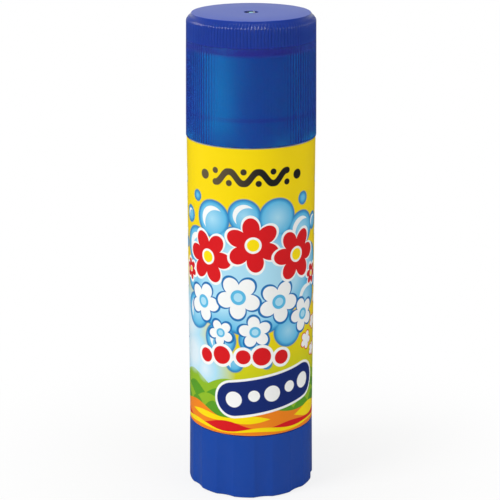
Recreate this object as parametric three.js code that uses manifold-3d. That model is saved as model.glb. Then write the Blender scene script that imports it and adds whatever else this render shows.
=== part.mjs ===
// A twist-up glue stick of the 20 gram school size, standing on its knob with its cap on.
//
// The white barrel carries a wrapped label and a neck that the ribbed blue cap plugs and covers.
// The knob below turns a screw that runs up through the glue. The screw's nut is part of the carrier,
// a slotted cup keyed to four ribs in the barrel's bore, so it climbs and pushes the glue out.
//
// Millimetres, Z up, origin at the middle of the knob's underside.

import * as THREE from "three";
import { mergeVertices } from "three/addons/utils/BufferGeometryUtils.js";
import Module from "manifold-3d";

const wasm = await Module();
wasm.setup();

// Overall sizes
const TOTAL_HEIGHT = 97.8;
const BARREL_RADIUS = 12.7; // at the shoulder
const KNOB_HEIGHT = 13.5;
const CAP_LENGTH = 24.35;
const NECK_LENGTH = 17.7;

// Clearances between pieces
const SEAT_GAP = 0.12; // the cap and the knob against the barrel's ends
const END_GAP = 0.3; // the other faces that meet end to end
const CAP_GAP = 0.2; // the neck inside the cap, on the radius
const PLUG_GAP = 0.15; // the cap's plug inside the mouth, on the radius
const SLIDE_GAP = 0.25; // what slides in the bore, on the radius
const TURN_GAP = 0.2; // what turns inside another piece
const PRESS_GAP = 0.1; // the screw's foot in the knob's hub
const THREAD_GAP = 0.22; // the nut on the thread, all round
const CAST_GAP = 0.3; // the glue against the cup that it was cast in
const LABEL_GAP = 0.05; // the label on the barrel

// Cap
const CAP_PROUD = 0.3; // the cap's foot stands out past the barrel's shoulder
const CAP_TAPER = 0.23; // narrower at the head, on the radius
const CAP_WALL = 1.05;
const CAP_ROOF = 1.2;
const CHAMFER_WIDTH = 1.08;
const CHAMFER_HEIGHT = 1.55;
const RIB_COUNT = 120;
const RIB_DEPTH = 0.13;
const DIMPLE_RADIUS = 1.4;
const DIMPLE_DEPTH = 0.5;
const GATE_RADIUS = 0.35;
const GATE_HEIGHT = 0.3;
const STOP_RISE = 1.5; // the thicker wall under the roof starts this far above the mouth
const STOP_STEP = 0.5;
const PLUG_WALL = 0.8;
const PLUG_REACH = 1.8; // how far the plug enters the mouth

// Barrel
const BARREL_TAPER = 0.13; // narrower at the foot, on the radius
const NECK_WALL = 0.95;
const BEAD_RISE = 5.4; // the snap bead's middle above the shoulder
const BEAD_HEIGHT = 0.12;
const BEAD_HALF_WIDTH = 0.6;
const FLOOR_STEP = 0.4; // the floor's upper face above the barrel's foot
const FLOOR_THICKNESS = 1.6;
const SPIGOT_LENGTH = 4;
const SPIGOT_WALL = 0.9;
const MOUTH_LIP = 0.25; // bevel of the mouth's two edges
const KEY_COUNT = 4;
const KEY_TURN = Math.PI / KEY_COUNT; // halfway between the carrier's fins
const KEY_HEIGHT = 0.5;
const KEY_WIDTH = 1.2;

// Label
const LABEL_THICKNESS = 0.1;
const LABEL_INSET = 0.1; // bare barrel above and below the label
const LABEL_OVERLAP = 3; // along the arc, at the back
const LABEL_RAMP = 1.5; // where the outer end climbs onto the inner one
const LABEL_SEAM_ANGLE = THREE.MathUtils.degToRad(90);

// Knob
const KNOB_PROUD = 0.2; // the knob's head stands out past the barrel's foot
const KNOB_FLARE = 0.18; // wider at the foot, on the radius
const KNOB_WALL = 1.3;
const KNOB_FLOOR = 1.4;
const KNOB_EDGE = 0.5; // rounding of the bottom edge
const KNOB_TOP_EDGE = 0.2;
const RIM_WIDTH = 2.2; // the flat ring that the stick stands on
const UNDERSIDE_RECESS = 0.6;
const FLUTE_COUNT = 10;
const FLUTE_HALF_ANGLE = THREE.MathUtils.degToRad(8.5);
const FLUTE_TURN = THREE.MathUtils.degToRad(-6.5);
const FLUTE_FOOT_DEPTH = 0.42;
const FLUTE_HEAD_DEPTH = 0.15;
const HUB_RADIUS = 5.4;
const WEB_COUNT = 6;
const WEB_THICKNESS = 1;
const WEB_HEIGHT = 4;

// Screw
const CORE_RADIUS = 2.4;
const CREST_RADIUS = 3.5;
const LEAD = 5; // rise for each turn, left-handed
const THREAD_ROOT_WIDTH = 1.9;
const THREAD_CREST_WIDTH = 0.9;
const FLAT_HALF_WIDTH = 3; // flats along the mould's parting line
const JOURNAL_RADIUS = 3.7;
const COLLAR_RADIUS = 5.1;
const COLLAR_THICKNESS = 1;
const SPLINE_COUNT = 8;
const SPLINE_DEPTH = 0.4;
const SCREW_COVER = 3.5; // glue above the screw's tip
const TIP_CHAMFER = 0.6;
const STRETCH_LAP = 0.5; // how far each stretch of the screw runs into the next
const TURN_SHARE = 0.95; // of the lead, at most taken up by the buried foot of the ridge

// Carrier
const CUP_WALL = 0.8;
const CUP_FLOOR = 1.2;
const CUP_FLOOR_RISE = 3; // the cup's floor above the hub's lower end
const CUP_DEPTH = 6.3;
const SKIRT_DROP = 2.2; // how far the skirt hangs below the cup's floor
const NUT_RADIUS = 5.4;
const NUT_LENGTH = 6.4; // the threaded stretch of the hub
const NUT_HUB_LENGTH = 11;
const FIN_COUNT = 4;
const FIN_THICKNESS = 0.8;
const FIN_HEIGHT = 4;

// Glue
const GLUE_TOP_GAP = 0.4; // below the cap's plug
const GLUE_EDGE = 0.7;

// Facets
const ROUND = 60;
const SMALL_ROUND = 32;
const TURN_STEPS = 16;
const FLUTE_STEPS = 12;
const TINY_ROUND = 12;
const MERGE = 1e-4; // vertices closer than this are one
const CLEAR = 1; // how far a cutting tool runs past the face that it opens

// Heights worked out from the sizes above
const capFoot = TOTAL_HEIGHT - CAP_LENGTH;
const chamferFoot = TOTAL_HEIGHT - CHAMFER_HEIGHT;
const roofInside = TOTAL_HEIGHT - CAP_ROOF;
const shoulder = capFoot - SEAT_GAP;
const mouth = shoulder + NECK_LENGTH;
const plugFoot = mouth - PLUG_REACH;
const glueTop = plugFoot - GLUE_TOP_GAP;
const barrelFoot = KNOB_HEIGHT + SEAT_GAP;
const floorTop = barrelFoot + FLOOR_STEP;
const floorBottom = floorTop - FLOOR_THICKNESS;
const hubTop = floorBottom - TURN_GAP;
const collarBottom = floorTop + TURN_GAP;
const collarTop = collarBottom + COLLAR_THICKNESS;
const screwTip = glueTop - SCREW_COVER;
const threadStart = collarTop + THREAD_ROOT_WIDTH;
const carrierFoot = collarTop + END_GAP;
const cupFloorBottom = carrierFoot + CUP_FLOOR_RISE;
const cupFloorTop = cupFloorBottom + CUP_FLOOR;
const cupRim = cupFloorTop + CUP_DEPTH;
const nutHubTop = carrierFoot + NUT_HUB_LENGTH;

// Radii that follow from a neighbour's
const barrelFootRadius = BARREL_RADIUS - BARREL_TAPER;
const capFootRadius = BARREL_RADIUS + CAP_PROUD;
const capHeadRadius = capFootRadius - CAP_TAPER;
const knobHeadRadius = barrelFootRadius + KNOB_PROUD;
const knobFootRadius = knobHeadRadius + KNOB_FLARE;
const capOuter = (z) =>
  THREE.MathUtils.mapLinear(z, capFoot, chamferFoot, capFootRadius, capHeadRadius);
const capInner = (z) => capOuter(z) - CAP_WALL;
const neckRadius = (z) => capInner(z) - CAP_GAP;
const barrelOuter = (z) =>
  THREE.MathUtils.mapLinear(z, barrelFoot, shoulder, barrelFootRadius, BARREL_RADIUS);
const boreRadius = neckRadius(mouth) - NECK_WALL;
const plugRadius = boreRadius - PLUG_GAP;
const slideRadius = boreRadius - SLIDE_GAP;
const knobInside = knobHeadRadius - KNOB_WALL;
const spigotRadius = knobInside - TURN_GAP;
const footRadius = JOURNAL_RADIUS - PRESS_GAP;

// A closed geometry as a solid: doubled vertices merged, collapsed triangles dropped, faces outwards.
function solid(geometry) {
  const bare = new THREE.BufferGeometry();
  bare.setAttribute("position", geometry.getAttribute("position"));
  bare.setIndex(geometry.index);
  const merged = mergeVertices(bare, MERGE);
  const index = merged.index.array;
  const corners = [];
  for (let i = 0; i < index.length; i += 3) {
    const [a, b, c] = index.subarray(i, i + 3);
    if (a !== b && b !== c && c !== a) corners.push(a, b, c);
  }
  const build = (triangles) =>
    new wasm.Manifold(
      new wasm.Mesh({
        numProp: 3,
        vertProperties: merged.getAttribute("position").array,
        triVerts: new Uint32Array(triangles),
      }),
    );
  const made = build(corners);
  return made.volume() > 0 ? made : build(corners.reverse());
}

const join = (...solids) => solids.reduce((whole, piece) => whole.add(piece));
const cut = (whole, ...tools) => tools.reduce((rest, tool) => rest.subtract(tool), whole);

// A profile of [radius, height] points turned about Z. It starts and ends on the axis, or is closed here.
function revolve(profile, segments = ROUND) {
  const points = profile.map(([radius, height]) => new THREE.Vector2(radius, height));
  const onAxis = profile[0][0] === 0 && profile.at(-1)[0] === 0;
  if (!onAxis) points.push(points[0].clone());
  return solid(new THREE.LatheGeometry(points, segments).rotateX(Math.PI / 2));
}

const disc = (radius, bottom, top, segments = SMALL_ROUND) =>
  revolve([[0, bottom], [radius, bottom], [radius, top], [0, top]], segments);

const tube = (inner, outer, bottom, top, segments = ROUND) =>
  revolve([[inner, bottom], [outer, bottom], [outer, top], [inner, top]], segments);

// A solid through closed sections with the same number of points, with flat ends.
function loft(sections) {
  const count = sections[0].length;
  const positions = sections.flat();
  const index = [];
  for (let s = 0; s + 1 < sections.length; s++) {
    for (let k = 0; k < count; k++) {
      const a = s * count + k;
      const b = s * count + ((k + 1) % count);
      index.push(a, b, b + count, a, b + count, a + count);
    }
  }
  const close = (section, first, turn) => {
    const middle = positions.length;
    const sum = section.reduce((total, point) => total.add(point), new THREE.Vector3());
    positions.push(sum.divideScalar(count));
    for (let k = 0; k < count; k++) {
      const edge = [first + k, first + ((k + 1) % count)];
      index.push(middle, ...(turn ? edge.reverse() : edge));
    }
  };
  close(sections[0], 0, true);
  close(sections.at(-1), (sections.length - 1) * count, false);
  const geometry = new THREE.BufferGeometry().setFromPoints(positions);
  geometry.setIndex(index);
  return solid(geometry);
}

// A level ring of points whose radius may change with the angle.
function ring(height, count, radiusAt, turn = 0) {
  return Array.from({ length: count }, (_, k) => {
    const angle = turn + (2 * Math.PI * k) / count;
    const radius = radiusAt(angle, k);
    return new THREE.Vector3(radius * Math.cos(angle), radius * Math.sin(angle), height);
  });
}

// A block lying along the radius at each of so many angles, from one radius and height to another.
function spokes(count, turn, inner, outer, width, bottom, top) {
  const blocks = Array.from({ length: count }, (_, k) => {
    const block = new THREE.BoxGeometry(outer - inner, width, top - bottom);
    block.translate((inner + outer) / 2, 0, (bottom + top) / 2);
    block.rotateZ(turn + (2 * Math.PI * k) / count);
    return solid(block);
  });
  return join(...blocks);
}

// The keys as a solid: as they stand in the bore, or grown by a clearance to cut what slides on them.
const keys = (bottom, top, gap) =>
  spokes(
    KEY_COUNT,
    KEY_TURN,
    boreRadius - KEY_HEIGHT - gap,
    boreRadius + NECK_WALL / 2,
    KEY_WIDTH + 2 * gap,
    bottom,
    top,
  );

// The thread's ridge, a trapezoid swept along a left-hand helix, grown by a clearance for the nut.
function threadRidge(bottom, top, gap) {
  const stepRise = LEAD / TURN_STEPS;
  const first = Math.ceil((bottom - threadStart) / stepRise);
  const last = Math.floor((top - threadStart) / stepRise);
  const rootHalf = THREAD_ROOT_WIDTH / 2 + gap;
  const crestHalf = THREAD_CREST_WIDTH / 2 + gap;
  const root = CORE_RADIUS / 2;
  const widen = (rootHalf - crestHalf) / (CREST_RADIUS - CORE_RADIUS);
  const deepHalf = Math.min(rootHalf + widen * (CORE_RADIUS - root), (TURN_SHARE * LEAD) / 2);
  const sections = [];
  for (let step = first; step <= last; step++) {
    const angle = (-2 * Math.PI * step) / TURN_STEPS;
    const height = threadStart + stepRise * step;
    const at = (radius, offset) =>
      new THREE.Vector3(radius * Math.cos(angle), radius * Math.sin(angle), height + offset);
    sections.push([
      at(root, -deepHalf),
      at(CORE_RADIUS, -rootHalf),
      at(CREST_RADIUS + gap, -crestHalf),
      at(CREST_RADIUS + gap, crestHalf),
      at(CORE_RADIUS, rootHalf),
      at(root, deepHalf),
    ]);
  }
  return loft(sections);
}

function capShape() {
  const points = 2 * RIB_COUNT;
  const ribbed = (z, radius, depth) => ring(z, points, (_, k) => radius - (k % 2 ? depth : 0));
  const shell = loft([
    ribbed(capFoot, capOuter(capFoot), RIB_DEPTH),
    ribbed(chamferFoot, capOuter(chamferFoot), RIB_DEPTH),
    ribbed(TOTAL_HEIGHT, capHeadRadius - CHAMFER_WIDTH, 0),
  ]);
  const groove = shoulder + BEAD_RISE;
  const stop = mouth + STOP_RISE;
  const below = capFoot - CLEAR;
  const cavity = revolve([
    [0, below],
    [capInner(capFoot), below],
    [capInner(capFoot), capFoot],
    [capInner(groove), groove - BEAD_HALF_WIDTH],
    [capInner(groove) + BEAD_HEIGHT, groove],
    [capInner(groove), groove + BEAD_HALF_WIDTH],
    [capInner(stop), stop],
    [capInner(stop) - STOP_STEP, stop],
    [capInner(roofInside) - STOP_STEP, roofInside],
    [0, roofInside],
  ]);
  const plugRoot = roofInside + CAP_ROOF / 3;
  const plug = revolve([
    [plugRadius - PLUG_WALL, plugFoot],
    [plugRadius - PLUG_WALL / 2, plugFoot],
    [plugRadius, plugFoot + PLUG_WALL],
    [plugRadius, plugRoot],
    [plugRadius - PLUG_WALL, plugRoot],
  ]);
  const dimpleFloor = TOTAL_HEIGHT - DIMPLE_DEPTH;
  const dimple = disc(DIMPLE_RADIUS, dimpleFloor, TOTAL_HEIGHT + CLEAR);
  const gate = disc(GATE_RADIUS, plugRoot, dimpleFloor + GATE_HEIGHT, TINY_ROUND);
  return join(cut(shell, cavity, dimple), plug, gate);
}

function barrelShape() {
  const bead = shoulder + BEAD_RISE;
  const wall = revolve([
    [JOURNAL_RADIUS + TURN_GAP, floorBottom],
    [spigotRadius - SPIGOT_WALL, floorBottom],
    [spigotRadius - SPIGOT_WALL, barrelFoot - SPIGOT_LENGTH],
    [spigotRadius, barrelFoot - SPIGOT_LENGTH],
    [spigotRadius, barrelFoot],
    [barrelFootRadius, barrelFoot],
    [BARREL_RADIUS, shoulder],
    [neckRadius(shoulder), shoulder],
    [neckRadius(bead), bead - BEAD_HALF_WIDTH],
    [neckRadius(bead) + BEAD_HEIGHT, bead],
    [neckRadius(bead), bead + BEAD_HALF_WIDTH],
    [neckRadius(mouth), mouth - MOUTH_LIP],
    [neckRadius(mouth) - MOUTH_LIP, mouth],
    [boreRadius + MOUTH_LIP, mouth],
    [boreRadius, mouth - MOUTH_LIP],
    [boreRadius, floorTop],
    [JOURNAL_RADIUS + TURN_GAP, floorTop],
  ]);
  const keyTop = plugFoot - PLUG_WALL;
  return join(wall, keys(floorTop - FLOOR_THICKNESS / 2, keyTop, 0));
}

// The label is one strip wrapped round the barrel, with its outer end lying over its inner one at the back.
function labelShape() {
  const bottom = barrelFoot + LABEL_INSET;
  const top = shoulder - LABEL_INSET;
  const overlap = LABEL_OVERLAP / BARREL_RADIUS;
  const ramp = LABEL_RAMP / BARREL_RADIUS;
  const turn = 2 * Math.PI;
  const layer = LABEL_THICKNESS + LABEL_GAP;
  const angles = Array.from({ length: ROUND }, (_, k) => (k / ROUND) * (turn - ramp));
  angles.push(turn - ramp, turn, turn + overlap / 2, turn + overlap);
  const sections = angles.map((angle) => {
    const lift = layer * THREE.MathUtils.smoothstep(angle, turn - ramp, turn);
    const at = (outside, z) => {
      const radius = barrelOuter(z) + LABEL_GAP + lift + (outside ? LABEL_THICKNESS : 0);
      const way = angle + LABEL_SEAM_ANGLE;
      return new THREE.Vector3(radius * Math.cos(way), radius * Math.sin(way), z);
    };
    return [at(false, bottom), at(true, bottom), at(true, top), at(false, top)];
  });
  return loft(sections);
}

function knobShape() {
  const points = FLUTE_COUNT * FLUTE_STEPS;
  const pitch = (2 * Math.PI) / FLUTE_COUNT;
  const fluteAt = (angle) => {
    const turns = (angle - FLUTE_TURN) / pitch;
    const off = pitch * Math.abs(turns - Math.round(turns));
    return off < FLUTE_HALF_ANGLE ? Math.cos(((off / FLUTE_HALF_ANGLE) * Math.PI) / 2) ** 2 : 0;
  };
  const level = (z, inset) => {
    const radius = THREE.MathUtils.mapLinear(z, 0, KNOB_HEIGHT, knobFootRadius, knobHeadRadius);
    const depth = THREE.MathUtils.mapLinear(z, 0, KNOB_HEIGHT, FLUTE_FOOT_DEPTH, FLUTE_HEAD_DEPTH);
    return ring(z, points, (angle) => radius - inset - depth * fluteAt(angle), FLUTE_TURN);
  };
  const edgeMiddle = KNOB_EDGE * (1 - Math.SQRT1_2);
  const outside = loft([
    level(0, KNOB_EDGE),
    level(edgeMiddle, edgeMiddle),
    level(KNOB_EDGE, 0),
    level(KNOB_HEIGHT - KNOB_TOP_EDGE, 0),
    level(KNOB_HEIGHT, KNOB_TOP_EDGE),
  ]);
  const knobFloorTop = UNDERSIDE_RECESS + KNOB_FLOOR;
  const inside = disc(knobInside, knobFloorTop, KNOB_HEIGHT + CLEAR, ROUND);
  const recess = disc(knobFootRadius - KNOB_EDGE - RIM_WIDTH, -CLEAR, UNDERSIDE_RECESS, ROUND);
  const hub = disc(HUB_RADIUS, knobFloorTop - KNOB_FLOOR / 2, hubTop);
  const webs = spokes(
    WEB_COUNT,
    0,
    HUB_RADIUS - WEB_THICKNESS / 2,
    knobInside + KNOB_WALL / 4,
    WEB_THICKNESS,
    knobFloorTop - KNOB_FLOOR / 2,
    knobFloorTop + WEB_HEIGHT,
  );
  const socket = splinedFoot(knobFloorTop, KNOB_HEIGHT, PRESS_GAP);
  return cut(join(cut(outside, inside, recess), hub, webs), socket);
}

// The splined foot of the screw, or, grown by a clearance, the socket that it presses into.
function splinedFoot(bottom, top, gap) {
  const points = 4 * SPLINE_COUNT;
  const level = (z) =>
    ring(z, points, (_, k) => footRadius + gap - (k % 4 > 1 ? SPLINE_DEPTH : 0));
  return loft([level(bottom), level(top)]);
}

function screwShape() {
  const knobFloorTop = UNDERSIDE_RECESS + KNOB_FLOOR;
  const journalFoot = hubTop + PRESS_GAP;
  const foot = splinedFoot(knobFloorTop + END_GAP, journalFoot + STRETCH_LAP, 0);
  const journal = disc(JOURNAL_RADIUS, journalFoot, collarBottom + STRETCH_LAP);
  const collar = disc(COLLAR_RADIUS, collarBottom, collarTop);
  const core = revolve(
    [
      [0, collarTop - STRETCH_LAP],
      [CORE_RADIUS, collarTop - STRETCH_LAP],
      [CORE_RADIUS, screwTip - TIP_CHAMFER],
      [CORE_RADIUS - TIP_CHAMFER, screwTip],
      [0, screwTip],
    ],
    TURN_STEPS,
  );
  const ridge = threadRidge(threadStart, screwTip - THREAD_ROOT_WIDTH, 0);
  const length = screwTip - collarTop;
  const slab = new THREE.BoxGeometry(2 * (CREST_RADIUS + CLEAR), 2 * FLAT_HALF_WIDTH, length);
  slab.translate(0, 0, collarTop + length / 2);
  return join(foot, journal, collar, core, ridge.intersect(solid(slab)));
}

function carrierShape() {
  const skirtFoot = cupFloorBottom - SKIRT_DROP;
  const hub = disc(NUT_RADIUS, carrierFoot, nutHubTop);
  const skirt = tube(slideRadius - CUP_WALL, slideRadius, skirtFoot, cupRim);
  const floor = disc(slideRadius - CUP_WALL / 2, cupFloorBottom, cupFloorTop, ROUND);
  const fins = spokes(
    FIN_COUNT,
    0,
    NUT_RADIUS - FIN_THICKNESS / 2,
    slideRadius - CUP_WALL / 2,
    FIN_THICKNESS,
    cupFloorTop - CUP_FLOOR / 2,
    cupFloorTop + FIN_HEIGHT,
  );
  const nutTop = carrierFoot + NUT_LENGTH;
  const bore = disc(CORE_RADIUS + THREAD_GAP, carrierFoot - CLEAR, nutHubTop + CLEAR, TURN_STEPS);
  const sleeve = disc(CREST_RADIUS + CAST_GAP, nutTop, nutHubTop + CLEAR);
  const thread = threadRidge(carrierFoot - LEAD, nutTop + LEAD / 4, THREAD_GAP);
  const slots = keys(carrierFoot - CLEAR, nutHubTop + CLEAR, SLIDE_GAP);
  return cut(join(hub, skirt, floor, fins), bore, sleeve, thread, slots);
}

function glueShape() {
  const sleeve = CREST_RADIUS + CAST_GAP;
  const boreTop = screwTip + CAST_GAP;
  const castOuter = slideRadius - CUP_WALL - CAST_GAP;
  const castInner = NUT_RADIUS + CAST_GAP;
  const edgeMiddle = GLUE_EDGE * (1 - Math.SQRT1_2);
  const stick = revolve([
    [0, boreTop],
    [CORE_RADIUS, boreTop],
    [sleeve, boreTop - TIP_CHAMFER],
    [sleeve, nutHubTop + CAST_GAP],
    [castInner, nutHubTop + CAST_GAP],
    [castInner, cupFloorTop + CAST_GAP],
    [castOuter, cupFloorTop + CAST_GAP],
    [castOuter, cupRim + CAST_GAP],
    [slideRadius, cupRim + CAST_GAP],
    [slideRadius, glueTop - GLUE_EDGE],
    [slideRadius - edgeMiddle, glueTop - edgeMiddle],
    [slideRadius - GLUE_EDGE, glueTop],
    [0, glueTop],
  ]);
  const finSlots = spokes(
    FIN_COUNT,
    0,
    NUT_RADIUS,
    slideRadius - CUP_WALL,
    FIN_THICKNESS + 2 * CAST_GAP,
    cupFloorTop,
    cupFloorTop + FIN_HEIGHT + CAST_GAP,
  );
  const grooves = keys(cupFloorTop, TOTAL_HEIGHT, SLIDE_GAP);
  return cut(stick, finSlots, grooves);
}

// Finishes
const plastic = (color, roughness) =>
  new THREE.MeshStandardMaterial({ color, roughness, metalness: 0 });
const finishes = {
  capBlue: plastic(0x1c4ca0, 0.35),
  knobBlue: plastic(0x1f479b, 0.3),
  barrelWhite: plastic(0xe9ebe6, 0.45),
  labelFilm: plastic(0xf7de05, 0.3),
  screwWhite: plastic(0xe4e4dc, 0.5),
  carrierWhite: plastic(0xeeeeea, 0.5),
  glueWhite: plastic(0xe6e8e3, 0.55),
};

// A solid as a named mesh.
function mesh(name, shape, material) {
  const { numProp, vertProperties, triVerts } = shape.getMesh();
  const positions = new Float32Array((vertProperties.length / numProp) * 3);
  for (let v = 0; v * 3 < positions.length; v++) {
    positions.set(vertProperties.subarray(v * numProp, v * numProp + 3), v * 3);
  }
  const geometry = new THREE.BufferGeometry();
  geometry.setAttribute("position", new THREE.BufferAttribute(positions, 3));
  geometry.setIndex(new THREE.BufferAttribute(triVerts, 1));
  geometry.computeVertexNormals();
  const made = new THREE.Mesh(geometry, material);
  made.name = name;
  return made;
}

const glueStick = new THREE.Group();
glueStick.add(
  mesh("cap", capShape(), finishes.capBlue),
  mesh("barrel", barrelShape(), finishes.barrelWhite),
  mesh("label", labelShape(), finishes.labelFilm),
  mesh("knob", knobShape(), finishes.knobBlue),
  mesh("screw", screwShape(), finishes.screwWhite),
  mesh("carrier", carrierShape(), finishes.carrierWhite),
  mesh("glue", glueShape(), finishes.glueWhite),
);

export default glueStick;
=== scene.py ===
"""Glue stick for the parts library: looks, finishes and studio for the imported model.

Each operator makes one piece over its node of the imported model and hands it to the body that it
moves with. The stick's sizes are in millimetres and the stage's in metres, and Z is up from the
ring that the stick stands on.
"""

import math

import bmesh
import bpy
from bpy.props import FloatProperty, FloatVectorProperty, IntProperty, PointerProperty
from bpy.types import Operator, Panel, PropertyGroup
from mathutils import Matrix, Vector


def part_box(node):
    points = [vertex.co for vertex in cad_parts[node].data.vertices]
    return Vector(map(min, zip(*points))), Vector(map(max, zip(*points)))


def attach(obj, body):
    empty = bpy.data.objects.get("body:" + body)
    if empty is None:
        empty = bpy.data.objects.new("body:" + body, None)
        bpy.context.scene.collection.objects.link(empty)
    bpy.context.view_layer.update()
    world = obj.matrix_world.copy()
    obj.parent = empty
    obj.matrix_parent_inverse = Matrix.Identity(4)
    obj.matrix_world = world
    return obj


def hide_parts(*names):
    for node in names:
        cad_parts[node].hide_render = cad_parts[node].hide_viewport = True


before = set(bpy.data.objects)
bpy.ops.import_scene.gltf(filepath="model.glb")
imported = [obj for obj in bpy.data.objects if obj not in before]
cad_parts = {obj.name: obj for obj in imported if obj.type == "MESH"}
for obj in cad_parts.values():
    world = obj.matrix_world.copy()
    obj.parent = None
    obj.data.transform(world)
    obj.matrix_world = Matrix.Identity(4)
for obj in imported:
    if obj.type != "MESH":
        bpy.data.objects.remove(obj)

bl_info = {
    "name": "Glue Stick",
    "version": (1, 0, 0),
    "blender": (4, 5, 0),
    "location": "3D View > Sidebar > Glue Stick",
    "description": "Builds the pieces, finishes and studio of a twist-up glue stick",
    "category": "Add Mesh",
}

MM = 0.001
TAU = 2 * math.pi
MERGE = 1e-7
SMOOTH_UNDER = math.radians(25)

# Steps round the ribbed cap, and round the other pieces
FINE_ROUND = 720
ROUND = 360


def ends(node):
    """Foot and head of a node, and its largest radius, in millimetres."""
    low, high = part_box(node)
    return low.z / MM, high.z / MM, high.x / MM


cap_foot, cap_top, cap_radius = ends("cap")
spigot_foot, mouth, barrel_radius = ends("barrel")
label_foot, label_head, label_radius = ends("label")
_, knob_head, knob_radius = ends("knob")
_, screw_tip, _ = ends("screw")
_, nut_top, slide_radius = ends("carrier")
glue_foot, glue_head, _ = ends("glue")

# Clearances of what is seated on, slides in, turns in or is cast in another piece
SEAT_GAP = 0.12
SLIDE_GAP = 0.25
TURN_GAP = 0.2
CAST_GAP = 0.3

# Sizes shared by pieces that fit one another
SHOULDER = cap_foot - SEAT_GAP
BARREL_FOOT = knob_head + SEAT_GAP
BARREL_TAPER = 0.13
FLOOR_TOP = BARREL_FOOT + 0.4
FLOOR_BOTTOM = FLOOR_TOP - 1.6
BORE_RADIUS = slide_radius + SLIDE_GAP
BEAD = SHOULDER + 5.4
BEAD_HEIGHT = 0.12
BEAD_HALF_WIDTH = 0.6
KEY_COUNT = 4
KEY_TURN = math.pi / KEY_COUNT
KEY_HEIGHT = 0.5
KEY_HALF_WIDTH = 0.6

# The gate mark in the cap's disc: a nub in a round pit
PIT_RADIUS = 1.5
PIT_FLOOR = cap_top - 0.6
NUB_RADIUS = 0.5

# Strengths of the white surroundings: what lights the stick, what its gloss mirrors in front of it
# and behind it, and what shows through the clear plastic
AMBIENT = 0.34
FRONT_GLOW = 0.06
BACK_GLOW = 0.62
THROUGH_GLOW = 0.135

# A bright card on the floor at the left, for the light stripe on the neck: it shows only where
# light that passed the cap has bounced as well. It fades in and out over these distances from the
# stick, and at its sides over these cosines of the angle to the way that leads to it.
CARD_GLOW = 4.1
CARD_WAY = (-0.857, -0.515, 0.0)
CARD_STARTS = (0.2, 0.3)
CARD_ENDS = (0.7, 0.55)
CARD_SIDES = (0.8, 0.97)

# The photograph's camera, which looks down by 16.7 degrees
CAMERA_PLACE = (-0.22 * MM, -336.34 * MM, 150.10 * MM)
CAMERA_TILT = math.radians(90 - 16.70)
CAMERA_LENS = 124.21


class CapSettings(PropertyGroup):
    rib_count: IntProperty(
        name="Ribs", description="Grip ribs round the cap", default=120, min=24,
    )
    rib_depth: FloatProperty(
        name="Rib depth", description="From the crest to the bottom of a groove",
        default=0.13 * MM, min=0.0, unit="LENGTH", precision=5,
    )
    wall: FloatProperty(
        name="Wall", description="Thickness of the cap's side",
        default=1.05 * MM, min=0.0, unit="LENGTH", precision=5,
    )
    colour: FloatVectorProperty(
        name="Pigment", description="Blue of the light that the plastic scatters",
        subtype="COLOR", size=3, default=(0.035, 0.02, 0.85), min=0.0, max=1.0,
    )
    dense_colour: FloatVectorProperty(
        name="Pigment where thick", description="Blue of the head, where the plastic is thick",
        subtype="COLOR", size=3, default=(0.02, 0.06, 0.42), min=0.0, max=1.0,
    )
    clear_colour: FloatVectorProperty(
        name="Tint", description="Blue of the light that passes through the wall",
        subtype="COLOR", size=3, default=(0.0, 0.64, 0.92), min=0.0, max=1.0,
    )
    clarity: FloatProperty(
        name="Clarity", description="Share of the light that passes through the wall",
        subtype="FACTOR", default=0.75, min=0.0, max=1.0,
    )


class KnobSettings(PropertyGroup):
    flute_count: IntProperty(
        name="Flutes", description="Grip flutes round the knob", default=10, min=3,
    )
    foot_depth: FloatProperty(
        name="Depth at the foot", description="Depth of a flute where it starts",
        default=0.42 * MM, min=0.0, unit="LENGTH", precision=5,
    )
    head_depth: FloatProperty(
        name="Depth at the head", description="Depth of a flute where it ends",
        default=0.15 * MM, min=0.0, unit="LENGTH", precision=5,
    )
    colour: FloatVectorProperty(
        name="Plastic", description="Solid blue of the knob", subtype="COLOR", size=3,
        default=(0.003, 0.060, 0.375), min=0.0, max=1.0,
    )


class BarrelSettings(PropertyGroup):
    colour: FloatVectorProperty(
        name="Plastic", description="White of the barrel", subtype="COLOR", size=3,
        default=(0.80, 0.82, 0.78), min=0.0, max=1.0,
    )
    glue_colour: FloatVectorProperty(
        name="Glue", description="Waxy white of the glue", subtype="COLOR", size=3,
        default=(0.79, 0.80, 0.76), min=0.0, max=1.0,
    )


class LabelSettings(PropertyGroup):
    overlap: FloatProperty(
        name="Overlap", description="How far the outer end laps over the inner one",
        default=3.0 * MM, min=0.0, unit="LENGTH", precision=5,
    )
    ground: FloatVectorProperty(
        name="Ground", description="Yellow that the design is printed on", subtype="COLOR",
        size=3, default=(0.93, 0.69, 0.0), min=0.0, max=1.0,
    )


class StageSettings(PropertyGroup):
    floor_size: FloatProperty(
        name="Floor", description="Width of the floor", default=6.0, min=1.0, unit="LENGTH",
    )
    key_power: FloatProperty(
        name="Key light", description="Power of the large light at the left", default=9.0,
        min=0.0, unit="POWER",
    )
    fill_power: FloatProperty(
        name="Fill light", description="Power of the light at the right", default=2.3,
        min=0.0, unit="POWER",
    )
    top_power: FloatProperty(
        name="Top light", description="Power of the light overhead", default=3.2,
        min=0.0, unit="POWER",
    )


def settings(context, name):
    return getattr(context.scene, "glue_stick_" + name)


# Modelling


def set_ring(verts, radius, height):
    """Moves a ring's vertices to a radius and height, each at the angle where it stands."""
    for vert in verts:
        angle = math.atan2(vert.co.y, vert.co.x)
        reach = radius(angle) if callable(radius) else radius
        vert.co = Vector((reach * math.cos(angle), reach * math.sin(angle), height)) * MM


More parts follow.
